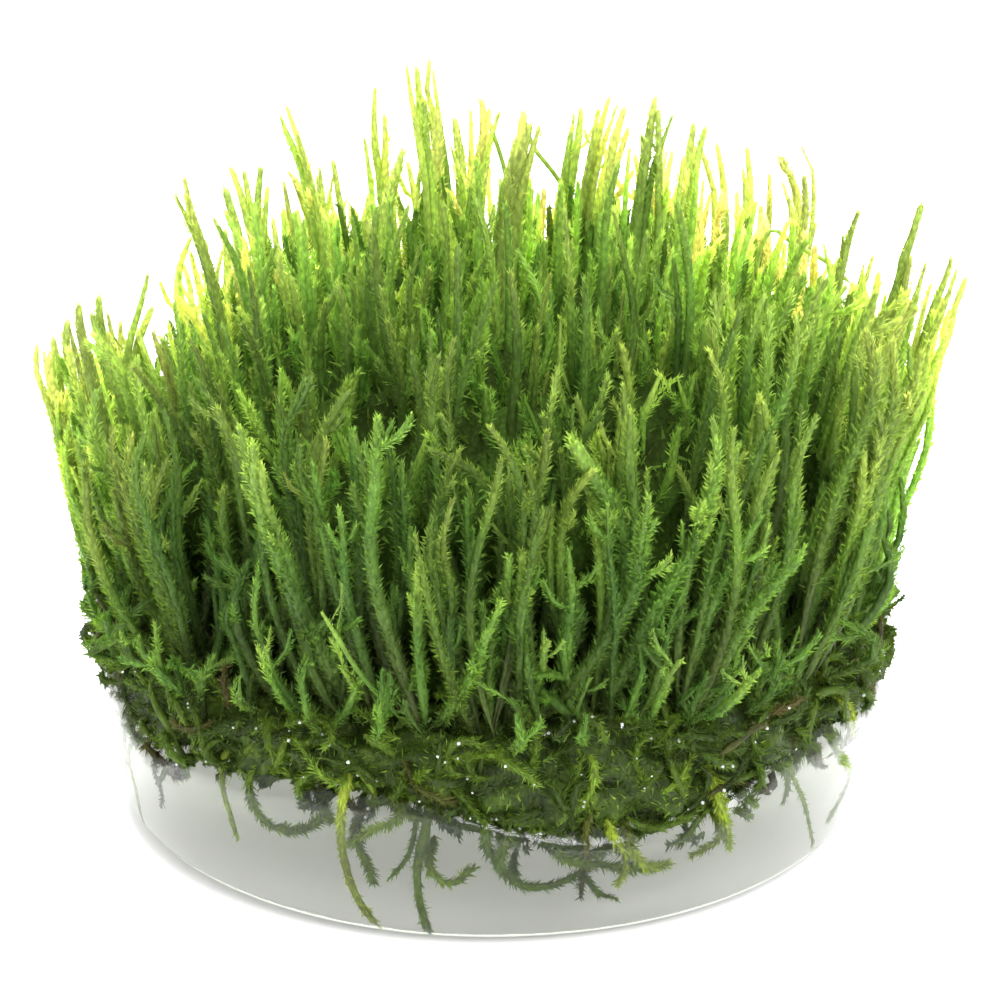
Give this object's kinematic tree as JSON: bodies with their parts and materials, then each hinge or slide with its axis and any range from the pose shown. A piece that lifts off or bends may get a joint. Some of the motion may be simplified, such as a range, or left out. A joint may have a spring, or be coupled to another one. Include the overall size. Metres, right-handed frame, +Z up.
{
  "type": "moss clump",
  "caption": "Dense cushion of upright leafy moss shoots on a mat of tangled stems, grown in a disc of clear nutrient gel that it stands on.",
  "frame": {"origin": "middle of the gel disc's flat underside, on the surface that the clump stands on", "axes": "+Z up, along the shoots; -Y towards the side that the picture shows; +X to its right"},
  "size_m": [0.079, 0.0767, 0.0637],
  "materials": {
    "gel": "clear, slightly cloudy, wet gel",
    "old_stems": "dark green to brown, wet tangled stems",
    "leafy_shoots": "fresh green leaves, paler and yellower towards the tips"
  },
  "bodies": {
    "root": {"gel_disc": "gel", "stem_mat": "old_stems", "tuft_01": "leafy_shoots", "tuft_02": "leafy_shoots", "tuft_03": "leafy_shoots", "tuft_04": "leafy_shoots", "tuft_05": "leafy_shoots", "tuft_06": "leafy_shoots", "tuft_07": "leafy_shoots", "tuft_08": "leafy_shoots", "tuft_09": "leafy_shoots", "tuft_10": "leafy_shoots", "tuft_11": "leafy_shoots", "tuft_12": "leafy_shoots", "tuft_13": "leafy_shoots", "tuft_14": "leafy_shoots", "tuft_15": "leafy_shoots", "tuft_16": "leafy_shoots", "tuft_17": "leafy_shoots", "tuft_18": "leafy_shoots", "tuft_19": "leafy_shoots", "tuft_20": "leafy_shoots", "tuft_21": "leafy_shoots", "tuft_22": "leafy_shoots", "tuft_23": "leafy_shoots", "tuft_24": "leafy_shoots", "tuft_25": "leafy_shoots", "tuft_26": "leafy_shoots", "tuft_27": "leafy_shoots", "tuft_28": "leafy_shoots", "tuft_29": "leafy_shoots", "tuft_30": "leafy_shoots", "tuft_31": "leafy_shoots", "tuft_32": "leafy_shoots", "tuft_33": "leafy_shoots", "tuft_34": "leafy_shoots", "tuft_35": "leafy_shoots", "tuft_36": "leafy_shoots", "tuft_37": "leafy_shoots", "tuft_38": "leafy_shoots", "tuft_39": "leafy_shoots", "tuft_40": "leafy_shoots"}
  },
  "joints": []
}
